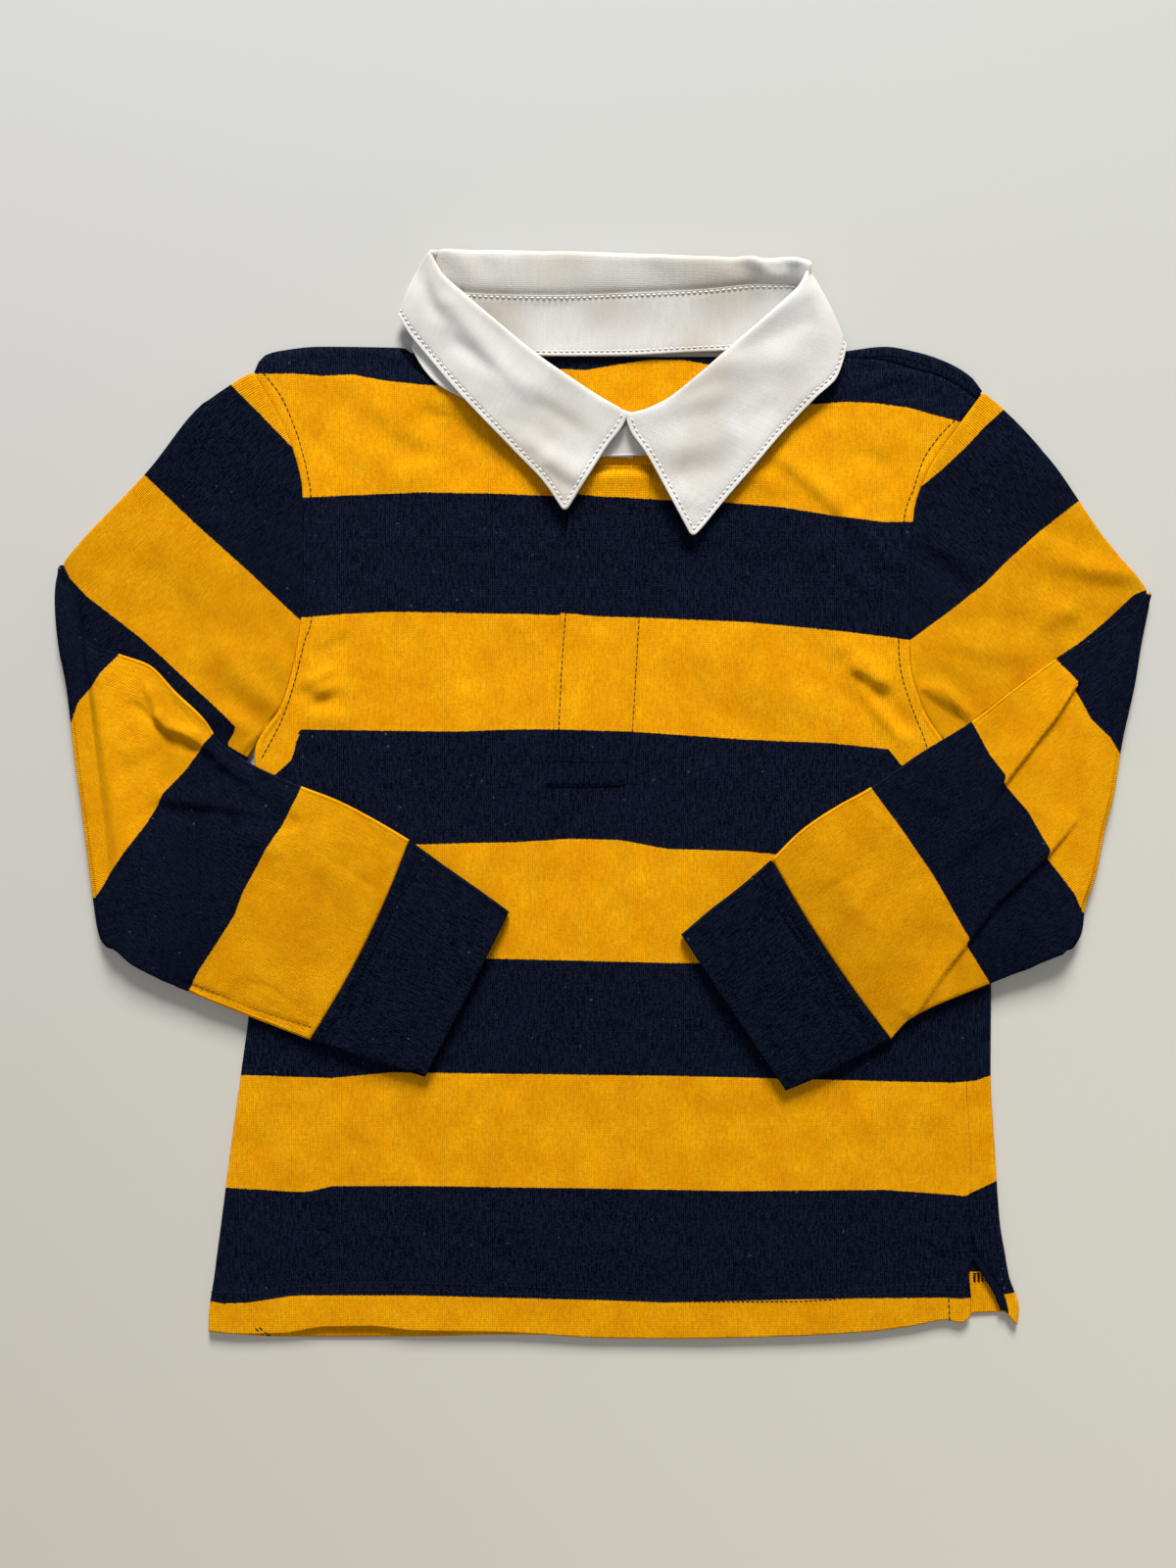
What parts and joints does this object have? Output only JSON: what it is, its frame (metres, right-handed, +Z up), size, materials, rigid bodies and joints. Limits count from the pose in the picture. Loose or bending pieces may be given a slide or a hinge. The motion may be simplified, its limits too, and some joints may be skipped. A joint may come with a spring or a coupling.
{
  "type": "rugby shirt",
  "caption": "Child's long-sleeved hooped rugby shirt with a turned-down collar, laid flat with its forearms folded over the front.",
  "frame": {"origin": "middle of the shirt's box in plan, on the surface it lies on", "axes": "+X to the right as seen from above, +Y from the hem towards the collar, +Z up from the surface, out of the shirt's front"},
  "size_m": [0.4766, 0.474, 0.0126],
  "materials": {
    "hooped_jersey": "matte cotton jersey in gold and navy hoops, slightly napped",
    "navy_jersey": "matte navy cotton jersey with pale lint",
    "white_twill": "matte off-white cotton twill with stitched edges",
    "navy_tape": "matte navy woven tape"
  },
  "bodies": {
    "root": {"back_panel": "hooped_jersey", "front_panel": "hooped_jersey", "placket": "hooped_jersey", "left_sleeve": "hooped_jersey", "right_sleeve": "hooped_jersey", "left_cuff": "navy_jersey", "right_cuff": "navy_jersey", "collar_stand": "white_twill", "collar_fall": "white_twill", "vent_tape": "navy_tape"}
  },
  "joints": []
}
